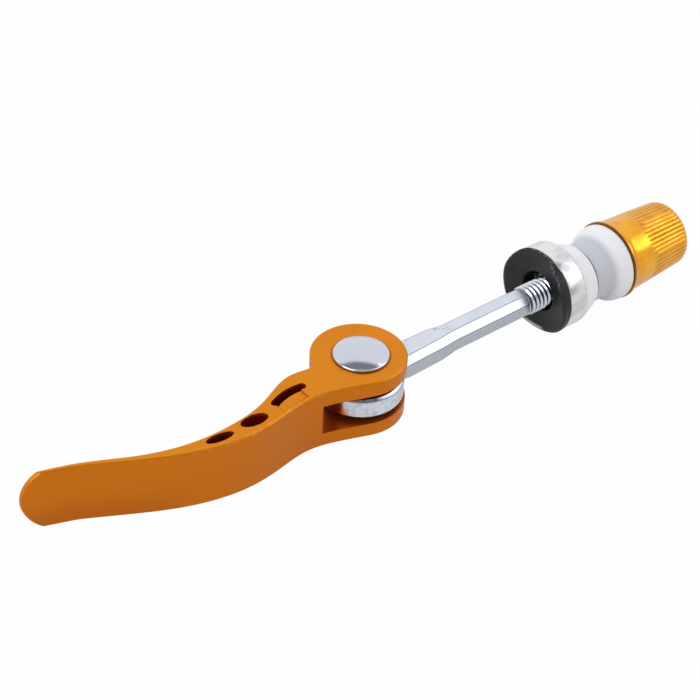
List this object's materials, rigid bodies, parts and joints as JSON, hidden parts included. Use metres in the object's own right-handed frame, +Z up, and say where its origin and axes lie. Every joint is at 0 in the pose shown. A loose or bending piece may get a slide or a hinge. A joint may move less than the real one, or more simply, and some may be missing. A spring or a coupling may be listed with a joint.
{
  "type": "quick release seatpost clamp",
  "caption": "Quick release bolt for a bicycle seatpost clamp: a cam lever on an eye bolt, with a cupped saddle, washers and a knurled nut.",
  "frame": {"origin": "where the lever's pivot axis crosses the bolt's axis", "axes": "+X along the bolt from the lever to the nut, +Z up along the pivot pin towards its domed head, +Y completes the set; the lever blade lies towards -X"},
  "size_m": [0.1476, 0.0185, 0.0179],
  "materials": {
    "lever_anodised": "satin orange anodising",
    "pin_steel": "bright plated steel",
    "bolt_zinc": "bright zinc plate",
    "saddle_plastic": "black moulded plastic",
    "cup_aluminium": "polished",
    "white_nylon": "natural nylon",
    "nut_anodised": "glossy gold-orange anodising"
  },
  "bodies": {
    "bolt": {"eye_bolt": "bolt_zinc"},
    "lever": {"lever": "lever_anodised", "pivot_pin": "pin_steel"},
    "cup": {"cup_washer": "cup_aluminium", "nylon_spacer": "white_nylon"},
    "saddle": {"cam_saddle": "saddle_plastic"},
    "bush": {"nylon_bush": "white_nylon"},
    "nut": {"nut": "nut_anodised"}
  },
  "joints": [
    {"name": "lever_pivot", "type": "hinge", "parent": "bolt", "child": "lever", "pos_m": [0, 0, 0], "axis": [0, 0, 1], "range_deg": [-90, 90]},
    {"name": "cup_slide", "type": "slide", "parent": "bolt", "child": "cup", "axis": [-1, 0, 0], "range_m": [0, 0.03]},
    {"name": "saddle_spin", "type": "hinge", "parent": "cup", "child": "saddle", "pos_m": [0.0447, 0, 0.00075], "axis": [1, 0, 0], "continuous": true},
    {"name": "nut_travel", "type": "slide", "parent": "bolt", "child": "bush", "axis": [1, 0, 0], "range_m": [0, 0.006]},
    {"name": "nut_turn", "type": "hinge", "parent": "bush", "child": "nut", "pos_m": [0.06395, 0, 0], "axis": [1, 0, 0], "range_deg": [0, 2160]}
  ],
  "couplings": [
    {"joint": "nut_turn", "follows": "nut_travel", "rad_per_m": 6283.2}
  ]
}
